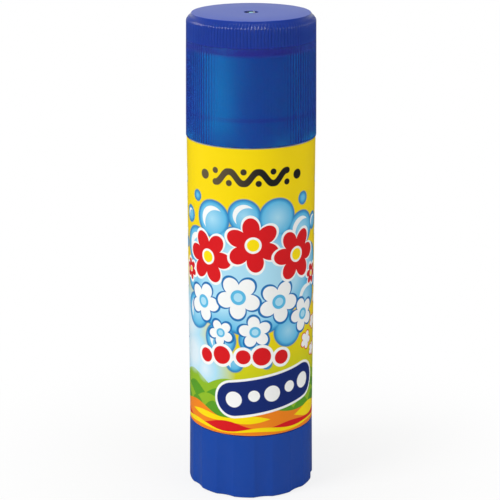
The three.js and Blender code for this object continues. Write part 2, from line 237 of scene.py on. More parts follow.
def grown(bm, edges):
    """Extrudes a loop of edges once, and gives the new loop's vertices and edges."""
    parts = bmesh.ops.extrude_edge_only(bm, edges=edges)["geom"]
    verts = [part for part in parts if isinstance(part, bmesh.types.BMVert)]
    lines = [part for part in parts if isinstance(part, bmesh.types.BMEdge)]
    return verts, [line for line in lines if line.is_boundary]


def turned(levels, count=ROUND, closed=False):
    """A round body, grown by extruding a ring of edges from level to level.

    A level is (radius, height) or (radius, height, bevel), and its radius may depend on the angle.
    The last ring is bridged to the first where closed is true; otherwise both are filled.
    """
    bm = bmesh.new()
    ring = bmesh.ops.create_circle(bm, segments=count, radius=1.0)["verts"]
    edges = first = list(bm.edges)
    bevels = {}
    for step, (radius, height, *bevel) in enumerate(levels):
        if step:
            ring, edges = grown(bm, edges)
        set_ring(ring, radius, height)
        if bevel:
            bevels.setdefault(bevel[0], []).extend(edges)
    if closed:
        bmesh.ops.bridge_loops(bm, edges=first + edges)
    else:
        for loop in (first, edges):
            bmesh.ops.edgeloop_fill(bm, edges=loop)
    for width, rings in bevels.items():
        bmesh.ops.bevel(
            bm, geom=rings, offset=width * MM, offset_type="OFFSET", segments=3, profile=0.5,
            affect="EDGES", clamp_overlap=True, material=-1,
        )
    return bm


def united(body, part):
    """One closed mesh of two that overlap."""
    pieces = []
    for name, bm in (("Body", body), ("Part", part)):
        bmesh.ops.recalc_face_normals(bm, faces=bm.faces)
        mesh = bpy.data.meshes.new(name)
        bm.to_mesh(mesh)
        bm.free()
        pieces.append(bpy.data.objects.new(name, mesh))
        bpy.context.scene.collection.objects.link(pieces[-1])
    union = pieces[0].modifiers.new("Union", "BOOLEAN")
    union.operation = "UNION"
    union.solver = "EXACT"
    union.object = pieces[1]
    result = bmesh.new()
    result.from_object(pieces[0], bpy.context.evaluated_depsgraph_get())
    # An object goes with its mesh
    for piece in pieces:
        bpy.data.meshes.remove(piece.data)
    return result


def finished(bm, name, node, body, slot, *materials):
    """Closes and shades a mesh, and stands it in for its node on the body that carries it."""
    bmesh.ops.remove_doubles(bm, verts=bm.verts, dist=MERGE)
    bmesh.ops.recalc_face_normals(bm, faces=bm.faces)
    for face in bm.faces:
        face.smooth = True
    for edge in bm.edges:
        edge.smooth = edge.is_manifold and edge.calc_face_angle() < SMOOTH_UNDER
    mesh = bpy.data.meshes.new(name)
    bm.to_mesh(mesh)
    bm.free()
    for material in materials:
        mesh.materials.append(material)
    piece = bpy.data.objects.new(name, mesh)
    bpy.context.scene.collection.objects.link(piece)
    weigh = piece.modifiers.new("Weighted normals", "WEIGHTED_NORMAL")
    weigh.keep_sharp = True
    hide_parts(node)
    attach(piece, body)


def off_pitch(angle, count, turn=0.0):
    """Angle to the nearest of so many evenly spaced ones."""
    pitch = TAU / count
    turns = (angle - turn) / pitch
    return pitch * abs(turns - round(turns))


def keyed(outer, half_width):
    """A radius that steps in at each key of the bore, as the bore's wall and the glue's do."""
    flank_width = 0.15

    def radius(angle):
        across = outer * math.sin(min(off_pitch(angle, KEY_COUNT, KEY_TURN), math.pi / 2))
        flank = min(max((half_width - across) / flank_width + 0.5, 0.0), 1.0)
        return outer - KEY_HEIGHT * flank

    return radius


# Materials


class Nodes:
    """A node tree, and the calls that add its nodes."""

    def __init__(self, tree):
        self.tree = tree

    def add(self, kind, **choices):
        node = self.tree.nodes.new(kind)
        for name, value in choices.items():
            setattr(node, name, value)
        return node

    def wire(self, value, socket):
        """Links a socket to another, or gives it a value."""
        if isinstance(value, bpy.types.NodeSocket):
            self.tree.links.new(value, socket)
        elif isinstance(socket, bpy.types.NodeSocketColor):
            socket.default_value = (*value, 1.0)
        else:
            socket.default_value = value

    def math(self, operation, *values, clamp=False):
        node = self.add("ShaderNodeMath", operation=operation, use_clamp=clamp)
        for value, socket in zip(values, node.inputs):
            self.wire(value, socket)
        return node.outputs[0]

    def vector(self, operation, *values):
        node = self.add("ShaderNodeVectorMath", operation=operation)
        for value, socket in zip(values, node.inputs):
            self.wire(value, socket)
        is_number = operation in ("DISTANCE", "DOT_PRODUCT", "LENGTH")
        return node.outputs["Value" if is_number else "Vector"]

    def ramp(self, value, low, high, out_low=0.0, out_high=1.0):
        """A smooth step from one output to the other while the value goes from low to high."""
        node = self.add("ShaderNodeMapRange", interpolation_type="SMOOTHSTEP")
        self.wire(value, node.inputs["Value"])
        node.inputs["From Min"].default_value = low
        node.inputs["From Max"].default_value = high
        node.inputs["To Min"].default_value = out_low
        node.inputs["To Max"].default_value = out_high
        return node.outputs["Result"]

    def number(self, share, under, over):
        """One number over another by a share."""
        node = self.add("ShaderNodeMix", data_type="FLOAT")
        self.wire(share, node.inputs["Factor"])
        self.wire(under, node.inputs["A"])
        self.wire(over, node.inputs["B"])
        return node.outputs[0]

    def mix(self, share, under, over):
        """One colour over another by a share."""
        node = self.add("ShaderNodeMix", data_type="RGBA")
        self.wire(share, node.inputs["Factor"])
        self.wire(under, node.inputs[6])
        self.wire(over, node.inputs[7])
        return node.outputs[2]


class Finish(Nodes):
    """A material, with its shader and its output."""

    def __init__(self, name):
        self.material = bpy.data.materials.new(name)
        self.material.use_nodes = True
        super().__init__(self.material.node_tree)
        self.tree.nodes.clear()
        self.surface = self.add("ShaderNodeBsdfPrincipled")
        self.output = self.add("ShaderNodeOutputMaterial")
        self.wire(self.surface.outputs["BSDF"], self.output.inputs["Surface"])

    def sets(self, **values):
        """Gives the shader's sockets, named with underscores for spaces, their values or links."""
        for name, value in values.items():
            self.wire(value, self.surface.inputs[name.replace("_", " ")])

    def joins(self, share, other):
        """Lays a second shader over the first by a share."""
        join = self.add("ShaderNodeMixShader")
        self.wire(share, join.inputs[0])
        self.wire(self.surface.outputs[0], join.inputs[1])
        self.wire(other.outputs[0], join.inputs[2])
        self.wire(join.outputs[0], self.output.inputs["Surface"])

    def position(self):
        """Place on the object, and its parts."""
        place = self.add("ShaderNodeTexCoord").outputs["Object"]
        parts = self.add("ShaderNodeSeparateXYZ")
        self.wire(place, parts.inputs[0])
        return place, parts.outputs

    def step(self, value, low, high):
        """A ramp between two places in millimetres."""
        return self.ramp(value, low * MM, high * MM)

    def noise(self, place, scale):
        node = self.add("ShaderNodeTexNoise")
        self.wire(place, node.inputs["Vector"])
        node.inputs["Scale"].default_value = scale
        return node.outputs["Fac"]

    def bump(self, height, distance, strength):
        node = self.add("ShaderNodeBump")
        self.wire(height, node.inputs["Height"])
        node.inputs["Distance"].default_value = distance
        node.inputs["Strength"].default_value = strength
        self.sets(Normal=node.outputs["Normal"])


def cap_plastic(name, pigment, dense, tint, clarity, roughness):
    """Semi-translucent plastic: a share of it lets light through, tinted, and the rest scatters it.

    The thick head lets less through and the disc is frosted. Painted light makes the disc paler,
    painted light and shade colour the wall above the barrel's mouth, painted shade darkens the pit,
    and its nub is pale, a stress-whitened gate mark with a painted highlight.
    """
    head_clarity = 0.3
    finish = Finish(name)
    place, parts = finish.position()
    height = parts[2]
    reach = finish.vector("LENGTH", finish.vector("MULTIPLY", place, (1.0, 1.0, 0.0)))
    past_mouth = finish.step(height, mouth - 0.4, mouth + 0.4)
    thick = finish.step(height, mouth + 1.2, mouth + 2.0)
    on_top = finish.step(height, cap_top - 0.1, cap_top - 0.01)
    pit_shade = finish.step(height, cap_top - 0.02, cap_top - 0.12)
    pit_shade = finish.math("MULTIPLY", pit_shade, finish.step(reach, PIT_RADIUS + 0.1, PIT_RADIUS))
    on_nub = finish.step(reach, NUB_RADIUS + 0.15, NUB_RADIUS)
    on_nub = finish.math("MULTIPLY", on_nub, finish.step(height, PIT_FLOOR, PIT_FLOOR + 0.2))
    # Painted light and shade: the wall above the barrel's mouth gets a colour of its own
    shade = finish.mix(past_mouth, pigment, MOUTH_BAND_PAINTED_SHADING)
    shade = finish.mix(thick, shade, dense)
    cloud = finish.ramp(finish.noise(place, 90.0), 0.3, 0.7, 0.0, 0.12)
    shade = finish.mix(cloud, shade, tuple(part * 0.8 for part in dense))
    # Painted light: the disc is paler than the side, as the top catches more light
    shade = finish.mix(on_top, shade, DISC_PAINTED_LIGHT)
    # Painted shade: the pit is darkened as if in its own shadow
    shade = finish.mix(pit_shade, shade, PIT_PAINTED_SHADE)
    # The nub is pale: a stress-whitened gate mark with a painted highlight
    finish.sets(
        Base_Color=finish.mix(on_nub, shade, GATE_WHITE_AND_HIGHLIGHT),
        Roughness=finish.math("MULTIPLY_ADD", on_top, 0.28, 0.12),
        Specular_IOR_Level=0.5,
        IOR=1.5,
    )
    off_bead = finish.math("ABSOLUTE", finish.math("SUBTRACT", height, BEAD * MM))
    snap = finish.ramp(off_bead, 0.2 * MM, 0.6 * MM, 0.2, 0.0)
    clear = finish.add("ShaderNodeBsdfPrincipled")
    finish.wire(finish.mix(snap, tint, dense), clear.inputs["Base Color"])
    clear.inputs["Transmission Weight"].default_value = 1.0
    clear.inputs["Roughness"].default_value = roughness
    clear.inputs["IOR"].default_value = 1.5
    side = finish.math("MULTIPLY_ADD", past_mouth, clarity * -0.15, clarity)
    head = finish.math("MULTIPLY_ADD", thick, head_clarity - clarity, clarity)
    finish.joins(finish.math("MINIMUM", side, head), clear)
    return finish.material


def knob_plastic(colour):
    finish = Finish("Knob Plastic")
    place, _ = finish.position()
    cloud = finish.ramp(finish.noise(place, 60.0), 0.3, 0.7, 0.0, 0.3)
    finish.sets(
        Base_Color=finish.mix(cloud, colour, KNOB_CLOUD),
        Roughness=finish.ramp(finish.noise(place, 400.0), 0.3, 0.7, 0.29, 0.36),
        Specular_IOR_Level=0.4,
        IOR=1.5,
    )
    return finish.material


def white_plastic(name, colour, roughness, depth):
    """White that light enters to a depth, with a warmer white in clouds and a moulded skin."""
    finish = Finish(name)
    place, _ = finish.position()
    red, green, blue = colour
    warm = (red * 0.96, green * 0.96, blue * 0.92)
    grain = finish.noise(place, 500.0)
    finish.sets(
        Base_Color=finish.mix(finish.ramp(finish.noise(place, 120.0), 0.35, 0.7), colour, warm),
        Roughness=finish.ramp(grain, 0.3, 0.7, roughness - 0.04, roughness + 0.04),
        Subsurface_Weight=0.25,
        Subsurface_Radius=(1.0, 1.0, 1.0),
        Subsurface_Scale=depth,
        IOR=1.5,
    )
    finish.bump(finish.noise(place, 1500.0), 0.01 * MM, 0.3)
    return finish.material


def floor_white():
    """Pale floor that keeps the object's shadow, and shows white farther off and in reflections."""
    finish = Finish("Floor")
    place, parts = finish.position()
    finish.sets(Base_Color=(0.85, 0.85, 0.85), Roughness=0.9, Specular_IOR_Level=0.0)
    path = finish.add("ShaderNodeLightPath").outputs
    glance = finish.math("MAXIMUM", path["Is Glossy Ray"], path["Is Transmission Ray"])
    seen = finish.math("MAXIMUM", path["Is Camera Ray"], glance)
    away = finish.vector("LENGTH", place)
    aim = finish.vector("DOT_PRODUCT", finish.vector("NORMALIZE", place), CARD_WAY)
    card = finish.math("MULTIPLY", finish.ramp(away, *CARD_STARTS), finish.ramp(away, *CARD_ENDS))
    card = finish.math("MULTIPLY", card, finish.ramp(aim, *CARD_SIDES, 0.0, CARD_GLOW))
    bounces = finish.math("ADD", path["Glossy Depth"], path["Diffuse Depth"])
    card = finish.math("MULTIPLY", card, finish.math("MINIMUM", bounces, 1.0))
    through = finish.math("ADD", card, THROUGH_GLOW)
    behind = finish.ramp(parts[1], 0.2, 1.5, FRONT_GLOW, BACK_GLOW)
    glow = finish.number(path["Is Transmission Ray"], behind, through)
    white = finish.add("ShaderNodeEmission")
    finish.wire(finish.math("MAXIMUM", path["Is Camera Ray"], glow), white.inputs["Strength"])
    shadeless = finish.ramp(away, 0.015, 0.08, 0.82, 1.0)
    finish.joins(finish.math("MULTIPLY", seen, shadeless), white)
    return finish.material


# Label


class Print(Finish):
    """The label's finish, drawn in millimetres across from the front's middle and up its side."""

    def __init__(self, name, ground, width, height, front):
        super().__init__(name)
        uv = self.add("ShaderNodeUVMap", uv_map="Strip").outputs["UV"]
        mapping = self.add("ShaderNodeMapping")
        self.wire(uv, mapping.inputs["Vector"])
        mapping.inputs["Scale"].default_value = (width, height, 1.0)
        mapping.inputs["Location"].default_value = (-front, 0.0, 0.0)
        self.plane = mapping.outputs["Vector"]
        parts = self.add("ShaderNodeSeparateXYZ")
        self.wire(self.plane, parts.inputs[0])
        self.across, self.up, _ = parts.outputs
        self.ink = ground

    def lay(self, colour, distance, grow=0.0, edge=0.1):
        """Prints a colour inside an outline, given the distance to it."""
        share = self.math("MULTIPLY_ADD", distance, -1.0 / edge, 0.5 + grow / edge, clamp=True)
        self.ink = self.mix(share, self.ink, colour)

    def dot(self, u, v, radius):
        return self.math("SUBTRACT", self.vector("DISTANCE", self.plane, (u, v, 0.0)), radius)

    def round(self, arm, radius):
        """Distance to a dot, given the vector from its middle."""
        return self.math("SUBTRACT", self.vector("LENGTH", arm), radius)

    def either(self, *distances):
        """Distance to the nearest of several shapes."""
        whole = distances[0]
        for distance in distances[1:]:
            whole = self.math("MINIMUM", whole, distance)
        return whole

    def both(self, one, other):
        """Distance to what two shapes share."""
        return self.math("MAXIMUM", one, other)

    def dots(self, circles):
        return self.either(*(self.dot(*circle) for circle in circles))

    def petals(self, arm, radius, count, turn):
        """Distance to a flower with round petals, given the vector from its middle."""
        depth, roundness = 0.42, 0.8
        parts = self.add("ShaderNodeSeparateXYZ")
        self.wire(arm, parts.inputs[0])
        angle = self.math("ARCTAN2", parts.outputs[1], parts.outputs[0])
        swell = self.math("COSINE", self.math("MULTIPLY_ADD", angle, count / 2.0, turn))
        bulge = self.math("POWER", self.math("ABSOLUTE", swell), roundness)
        reach = self.math("MULTIPLY_ADD", bulge, radius * depth, radius * (1.0 - depth))
        return self.round(arm, reach)

    def flower(self, u, v, radius, count, turn):
        return self.petals(self.vector("SUBTRACT", self.plane, (u, v, 0.0)), radius, count, turn)

    def ripple(self, middle, swing, length):
        """Distance to the middle of a wavy line that runs across."""
        phase = self.math("MULTIPLY", self.across, TAU / length)
        line = self.math("MULTIPLY_ADD", self.math("SINE", phase), swing, middle)
        slope = self.math("MULTIPLY", self.math("COSINE", phase), swing * TAU / length)
        steep = self.math("SQRT", self.math("MULTIPLY_ADD", slope, slope, 1.0))
        off = self.math("ABSOLUTE", self.math("SUBTRACT", line, self.up))
        return self.math("DIVIDE", off, steep)

    def pill(self, u, v, half_length, radius, turn):
        """Distance to a bar with round ends."""
        node = self.add("ShaderNodeMapping", vector_type="TEXTURE")
        self.wire(self.plane, node.inputs["Vector"])
        node.inputs["Location"].default_value = (u, v, 0.0)
        node.inputs["Rotation"].default_value = (0.0, 0.0, turn)
        parts = self.add("ShaderNodeSeparateXYZ")
        self.wire(node.outputs["Vector"], parts.inputs[0])
        along = self.math("ABSOLUTE", parts.outputs[0])
        past = self.math("SUBTRACT", along, half_length - radius)
        arm = self.add("ShaderNodeCombineXYZ")
        self.wire(self.math("MAXIMUM", past, 0.0), arm.inputs[0])
        self.wire(parts.outputs[1], arm.inputs[1])
        return self.round(arm.outputs[0], radius)


# Painted colours on the cap: its nub, pale as a stress-whitened gate mark and with a painted
# highlight; painted light and shade on its wall above the barrel's mouth; painted light that makes
# its disc paler; and painted shade in its pit
GATE_WHITE_AND_HIGHLIGHT = (0.4, 0.85, 0.95)
MOUTH_BAND_PAINTED_SHADING = (0.06, 0.055, 0.66)
DISC_PAINTED_LIGHT = (0.05, 0.12, 0.68)
PIT_PAINTED_SHADE = (0.002, 0.004, 0.08)

# Colour of the faint clouds in the knob
KNOB_CLOUD = (0.006, 0.05, 0.33)

# Inks
YELLOW = (0.98, 0.74, 0.0)
LIME = (0.50, 0.60, 0.01)
LEAF = (0.10, 0.34, 0.02)
GRASS = (0.28, 0.50, 0.02)
ORANGE = (0.90, 0.24, 0.01)
RED = (0.70, 0.008, 0.012)
NAVY = (0.008, 0.025, 0.17)
BRONZE = (0.13, 0.10, 0.05)
INK = (0.015, 0.015, 0.015)
SKY = (0.10, 0.49, 0.78)
PALE_SKY = (0.42, 0.74, 0.90)
HAZE = (0.72, 0.86, 0.93)
SEA = (0.01, 0.17, 0.47)
WHITE = (0.93, 0.94, 0.92)

# Round motifs: each one's place across and up, and its radius
FOAM = (
    (0.0, 33.0, 11.5), (-6.0, 31.0, 8.4), (6.0, 34.0, 8.4), (-12.6, 38.5, 4.0),
    (-8.2, 45.0, 3.7), (-1.4, 46.2, 3.2), (5.4, 45.6, 3.8), (11.4, 42.4, 3.6),
    (14.0, 35.2, 3.6), (13.4, 28.0, 3.4), (8.0, 21.8, 3.2), (0.6, 20.6, 3.0),
    (-6.6, 20.2, 3.4), (-13.0, 25.0, 3.6), (-14.2, 31.8, 3.0),
)
BUBBLES = (
    (-15.4, 44.6, 1.6), (16.2, 43.0, 1.7), (-3.4, 15.4, 1.7), (17.6, 30.2, 1.1),
    (-12.4, 49.0, 1.0), (11.8, 48.6, 1.2), (-18.2, 38.0, 1.0), (3.2, 15.4, 1.0),
)
WITH_GLINT = FOAM[3:6] + FOAM[7:8] + FOAM[9:10] + FOAM[12:14] + BUBBLES[:3]
MIST = ((-17.0, 22.0, 5.6), (-15.0, 15.6, 5.4), (-19.4, 14.0, 4.6), (-10.6, 13.0, 3.6))
RED_DOTS = (
    (-10.0, 16.2, 1.5), (-6.2, 16.9, 1.9), (-1.6, 16.9, 1.5), (2.2, 17.0, 1.9), (6.4, 16.5, 1.5),
)
BEADS = (
    (-3.6, 7.7, 1.7), (0.6, 8.6, 1.2), (4.4, 8.9, 1.7), (8.4, 9.8, 1.2), (12.2, 10.2, 1.7),
)

# Flowers: place across and up, radius and turn
RED_FLOWERS = (
    (-9.4, 37.0, 5.4, 0.3), (0.4, 40.2, 5.6, 1.2), (10.0, 37.4, 5.4, 0.0),
    (-15.6, 33.0, 2.2, 0.8), (15.8, 32.0, 2.2, 0.5),
)
WHITE_FLOWERS = (
    (-10.8, 27.4, 4.1, 0.2), (-2.6, 29.4, 4.6, 0.9), (5.8, 28.2, 4.4, 0.4),
    (12.2, 24.4, 3.6, 1.5), (0.8, 22.2, 3.4, 2.0), (-6.4, 21.6, 2.8, 1.1),
)
STARLETS = (
    (13.6, 18.4, 1.9, 0.4), (17.0, 21.4, 1.5, 0.9), (16.6, 15.6, 1.4, 0.1),
    (18.6, 26.0, 1.2, 0.5),
)

# The bar: place across and up, half length, radius and turn
BAR = (4.2, 9.0, 11.6, 3.6, math.radians(9))

# The wavy line
WAVE_UP = 53.8
WAVE_SWING = 1.15
WAVE_LENGTH = 5.9
WAVE_END = 1.25 * WAVE_LENGTH
WAVE_HALF_STROKE = 0.66
BEND_DOT = 0.62
END_DOT = 1.0
END_DOT_AWAY = 2.6

# The lattice of small flowers round the sides and back: its cells, its first flower, and the
# middle and half of the height that it fills
CELL_WIDE = 7.0
CELL_TALL = 11.0
FIRST_ACROSS = 20.5
FIRST_UP = 18.5
LATTICE_MIDDLE = 35.0
LATTICE_HALF = 20.0


def lay_hills(film):
    """Rows of round hilltops, each row in front of the one before."""
    for crest, colour, length, shift in (
        (11.4, GRASS, 9.6, 0.0),
        (9.0, LEAF, 7.4, 1.3),
        (7.4, GRASS, 8.2, 2.1),
        (6.0, LEAF, 5.1, 0.4),
    ):
        valley = crest - 1.2
        swing = film.math("SINE", film.math("MULTIPLY_ADD", film.across, math.pi / length, shift))
        edge = film.math("MULTIPLY_ADD", film.math("ABSOLUTE", swing), 1.8, valley)
        film.lay(colour, film.math("SUBTRACT", film.up, edge))


def lay_ribbons(film):
    """Bands of orange, yellow and red whose edges swing up and down round the foot."""
    long_wave, short_wave = 20.2, 13.45
    swing = film.math("SINE", film.math("MULTIPLY", film.across, TAU / long_wave))
    counter = film.math("SINE", film.math("MULTIPLY_ADD", film.across, TAU / short_wave, 1.0))
    for crest, one, other, colour in (
        (4.6, 0.7, 0.5, ORANGE),
        (3.7, -0.5, 0.6, YELLOW),
        (2.9, 0.6, -0.4, ORANGE),
        (2.0, -0.4, -0.5, RED),
        (1.2, 0.3, 0.3, YELLOW),
        (0.6, 0.0, 0.2, ORANGE),
    ):
        edge = film.math("MULTIPLY_ADD", counter, other, crest)
        edge = film.math("MULTIPLY_ADD", swing, one, edge)
        film.lay(colour, film.math("SUBTRACT", film.up, edge))


def lay_splash(film):
    """Bubbles that run into one another, pale in the middle, some with a glint like a sickle."""
    splash = film.dots(FOAM + BUBBLES)
    for colour, grow, edge in ((SEA, 0.2, 0.3), (SKY, -0.25, 0.8), (PALE_SKY, -2.2, 3.6)):
        film.lay(colour, splash, grow, edge)
    for u, v, radius in WITH_GLINT:
        shift = radius * 0.28
        hollow = film.math("MULTIPLY", film.dot(u + shift, v - shift, radius * 0.78), -1.0)
        film.lay(WHITE, film.both(film.dot(u, v, radius * 0.7), hollow))


def cells(film, across, up, columns):
    """Vector from a cell's middle, and distance to a block of so many columns of cells.

    The lattice is the same to the left and right of the front, and leaves the lapped seam clear.
    """
    aside = film.math("ABSOLUTE", film.across)
    arm = film.add("ShaderNodeCombineXYZ")
    for value, first, pitch, socket in (
        (aside, across, CELL_WIDE, arm.inputs[0]),
        (film.up, up, CELL_TALL, arm.inputs[1]),
    ):
        wrapped = film.math("WRAP", film.math("SUBTRACT", value, first - pitch / 2), pitch, 0.0)
        film.wire(film.math("SUBTRACT", wrapped, pitch / 2), socket)
    off = film.math("ABSOLUTE", film.math("SUBTRACT", film.up, LATTICE_MIDDLE))
    tall = film.math("SUBTRACT", off, LATTICE_HALF)
    middle = across + (columns - 1) * CELL_WIDE / 2
    wide = film.math("ABSOLUTE", film.math("SUBTRACT", aside, middle))
    block = film.both(tall, film.math("SUBTRACT", wide, columns * CELL_WIDE / 2))
    return arm.outputs[0], block


def lay_wreath(film):
    """Small flowers in rows, with a dot between each four."""
    arm, block = cells(film, FIRST_ACROSS, FIRST_UP, 3)
    flower = film.both(block, film.petals(arm, 2.2, 5, 0.8))
    film.lay(SEA, flower, 0.3)
    film.lay(WHITE, flower)
    film.lay(RED, film.both(block, film.round(arm, 0.7)))
    arm, block = cells(film, FIRST_ACROSS + CELL_WIDE / 2, FIRST_UP + CELL_TALL / 2, 2)
    dot = film.both(block, film.round(arm, 0.9))
    film.lay(WHITE, dot, 0.35)
    film.lay(SKY, dot)


def lay_bouquet(film):
    """White flowers, red ones over them, and small white ones beside them."""
    for u, v, radius, turn in WHITE_FLOWERS:
        flower = film.flower(u, v, radius, 5, turn)
        film.lay(SEA, flower, 0.4)
        film.lay(WHITE, flower, -0.1)
        film.lay(SKY, film.dot(u, v, radius * 0.34))
        film.lay(PALE_SKY, film.dot(u, v, radius * 0.2))
    for u, v, radius, turn in RED_FLOWERS:
        flower = film.flower(u, v, radius, 6, turn)
        film.lay(WHITE, flower, 0.55)
        film.lay(RED, flower)
        film.lay(WHITE, film.dot(u, v, radius * 0.3))
        film.lay(YELLOW, film.dot(u, v, radius * 0.22))
    for u, v, radius, turn in STARLETS:
        flower = film.flower(u, v, radius, 5, turn)
        film.lay(RED, flower, 0.25)
        film.lay(WHITE, flower)


def lay_wave(film):
    """A wavy line with round ends, a dot in each of its bends and a larger one past either end."""
    line = film.ripple(WAVE_UP, WAVE_SWING, WAVE_LENGTH)
    line = film.math("SUBTRACT", line, WAVE_HALF_STROKE)
    past = film.math("SUBTRACT", film.math("ABSOLUTE", film.across), WAVE_END)
    dots = []
    for side in (-1, 1):
        dots.append((side * WAVE_END, WAVE_UP + side * WAVE_SWING, WAVE_HALF_STROKE))
        dots.append((side * (WAVE_END + END_DOT_AWAY), WAVE_UP, END_DOT))
    # It bends at the odd quarters of a wave
    for bend in range(-5, 7, 2):
        dots.append((bend * WAVE_LENGTH / 4, WAVE_UP - WAVE_SWING * (2 - bend % 4), BEND_DOT))
    dark = film.mix(film.ramp(film.across, -10.0, 4.0), BRONZE, INK)
    film.lay(dark, film.either(film.both(line, past), film.dots(dots)))


def label_print(ground, width, height, front):
    """The printed side of the label, from the ground to the motifs on top."""
    film = Print("Label Print", ground, width, height, front)
    film.ink = film.mix(film.ramp(film.up, 26.0, 9.0, 0.0, 0.85), film.ink, LIME)
    mist = film.dots(MIST)
    film.lay(PALE_SKY, mist, 1.6, 4.5)
    lay_hills(film)
    film.lay(HAZE, mist, -2.0, 3.0)
    lay_ribbons(film)
    lay_splash(film)
    lay_wreath(film)
    lay_bouquet(film)
    dots = film.dots(RED_DOTS)
    film.lay(WHITE, dots, 0.6)
    film.lay(RED, dots)
    bar = film.pill(*BAR)
    film.lay(WHITE, bar, 0.5)
    film.lay(NAVY, bar)
    film.lay(WHITE, film.dots(BEADS))
    lay_wave(film)

    place, _ = film.position()
    film.sets(
        Base_Color=film.ink,
        Roughness=film.ramp(film.noise(place, 300.0), 0.3, 0.7, 0.3, 0.36),
        Specular_IOR_Level=0.15,
    )
    film.bump(film.noise(place, 900.0), 0.01 * MM, 0.25)
    return film.material


# Operators


class GLUESTICK_OT_cap(Operator):
    """Make the ribbed cap with its inner stop, plug and gate mark"""

    bl_idname = "glue_stick.cap"
    bl_label = "Cap"

    def execute(self, context):
        wish = settings(context, "cap")
        wall, depth = wish.wall / MM, wish.rib_depth / MM
        chamfer = cap_top - 1.35
        rib_starts, run_out = cap_top - 0.4, 0.4
        head_radius = cap_radius - 0.23
        disc_radius = head_radius - 1.08
        roof = cap_top - 1.2
        stop, stop_step = mouth + 1.5, 0.5
        plug, plug_wall = BORE_RADIUS - 0.15, 0.8
        plug_foot = mouth - 1.8

        def outer(height):
            share = (height - cap_foot) / (chamfer - cap_foot)
            return cap_radius + (head_radius - cap_radius) * share

        def inner(height):
            return outer(height) - wall

        def ribbed(height):
            """Ribs over the grooves' bottom, which run out on the chamfer."""
            up = max((height - chamfer) / (cap_top - chamfer), 0.0)
            rise = min((rib_starts - height) / run_out, 1.0)
            bottom = (outer(height) - depth) * (1 - up) + disc_radius * up

            def radius(angle):
                groove = (1 - abs(math.sin(wish.rib_count / 2 * angle))) ** 1.5
                return bottom + depth * rise * (1 - groove)

            return radius

        levels = [
            (NUB_RADIUS - 0.04, cap_top - 0.04, 0.08),
            (NUB_RADIUS + 0.02, PIT_FLOOR),
            (PIT_RADIUS - 0.3, PIT_FLOOR),
            (PIT_RADIUS - 0.08, cap_top - 0.06),
            (PIT_RADIUS + 0.02, cap_top),
            (disc_radius * 0.5, cap_top),
            (disc_radius, cap_top, 0.08),
            (ribbed(rib_starts), rib_starts),
            (ribbed(rib_starts - run_out / 2), rib_starts - run_out / 2),
            (ribbed(rib_starts - run_out), rib_starts - run_out),
            (ribbed(chamfer), chamfer, 0.2),
            (ribbed(chamfer - 2.0), chamfer - 2.0),
            (ribbed(BEAD), BEAD),
            (ribbed(cap_foot + 1.0), cap_foot + 1.0),
            (ribbed(cap_foot), cap_foot, 0.1),
            (inner(cap_foot), cap_foot, 0.15),
            (inner(BEAD), BEAD - BEAD_HALF_WIDTH),
            (inner(BEAD) + BEAD_HEIGHT, BEAD),
            (inner(BEAD), BEAD + BEAD_HALF_WIDTH),
            (inner(stop), stop),
            (inner(stop) - stop_step, stop, 0.1),
            (inner(roof) - stop_step, roof, 0.2),
            (plug, roof, 0.2),
            (plug, plug_foot + 0.8),
            (plug - plug_wall / 2, plug_foot, 0.08),
            (plug - plug_wall, plug_foot, 0.08),
            (plug - plug_wall, roof, 0.2),
            (1.0, roof),
        ]
        bm = turned(levels, FINE_ROUND)
        # The inside is what lies under the disc, past the middle of the wall
        for face in bm.faces:
            middle = face.calc_center_median() / MM
            off_wall = outer(middle.z) - math.hypot(middle.x, middle.y)
            if middle.z < cap_top - 0.8 and off_wall > wall / 2:
                face.material_index = 1
        blues = tuple(wish.colour), tuple(wish.dense_colour), tuple(wish.clear_colour)
        outside = cap_plastic("Cap Plastic", *blues, wish.clarity, 0.2)
        inside = cap_plastic("Cap Inside", *blues, 1.0, 0.12)
        finished(bm, "Cap", "cap", "cap", "cap_plastic", outside, inside)
        return {"FINISHED"}


class GLUESTICK_OT_barrel(Operator):
    """Make the white barrel with its neck, bead, keyed bore and spigot"""

    bl_idname = "glue_stick.barrel"
    bl_label = "Barrel"

    def execute(self, context):
        wish = settings(context, "barrel")
        spigot, spigot_wall = BORE_RADIUS + 0.647, 0.9
        neck_foot, neck_head = barrel_radius - 0.95, BORE_RADIUS + 0.95
        screw_hole = 3.9
        lip = 0.25
        key_top = mouth - 2.6
        keys = keyed(BORE_RADIUS, KEY_HALF_WIDTH)

        def neck(height):
            share = (height - SHOULDER) / (mouth - SHOULDER)
            return neck_foot + (neck_head - neck_foot) * share

        levels = [
            (screw_hole, FLOOR_BOTTOM, 0.1),
            (spigot - spigot_wall, FLOOR_BOTTOM),
            (spigot - spigot_wall, spigot_foot, 0.15),
            (spigot, spigot_foot, 0.15),
            (spigot, BARREL_FOOT),
            (barrel_radius - BARREL_TAPER, BARREL_FOOT, 0.08),
            (barrel_radius, SHOULDER, 0.12),
            (neck(SHOULDER), SHOULDER, 0.1),
            (neck(BEAD), BEAD - BEAD_HALF_WIDTH),
            (neck(BEAD) + BEAD_HEIGHT, BEAD),
            (neck(BEAD), BEAD + BEAD_HALF_WIDTH),
            (neck(mouth), mouth - lip),
            (neck(mouth) - lip, mouth, 0.06),
            (BORE_RADIUS + lip, mouth, 0.06),
            (BORE_RADIUS, mouth - lip),
            (BORE_RADIUS, key_top),
            (keys, key_top - KEY_HEIGHT),
            (keys, FLOOR_TOP),
            (screw_hole, FLOOR_TOP, 0.1),
        ]
        bm = turned(levels, closed=True)
        material = white_plastic("Barrel Plastic", tuple(wish.colour), 0.15, 0.8 * MM)
        finished(bm, "Barrel", "barrel", "barrel", "barrel_plastic", material)
        return {"FINISHED"}


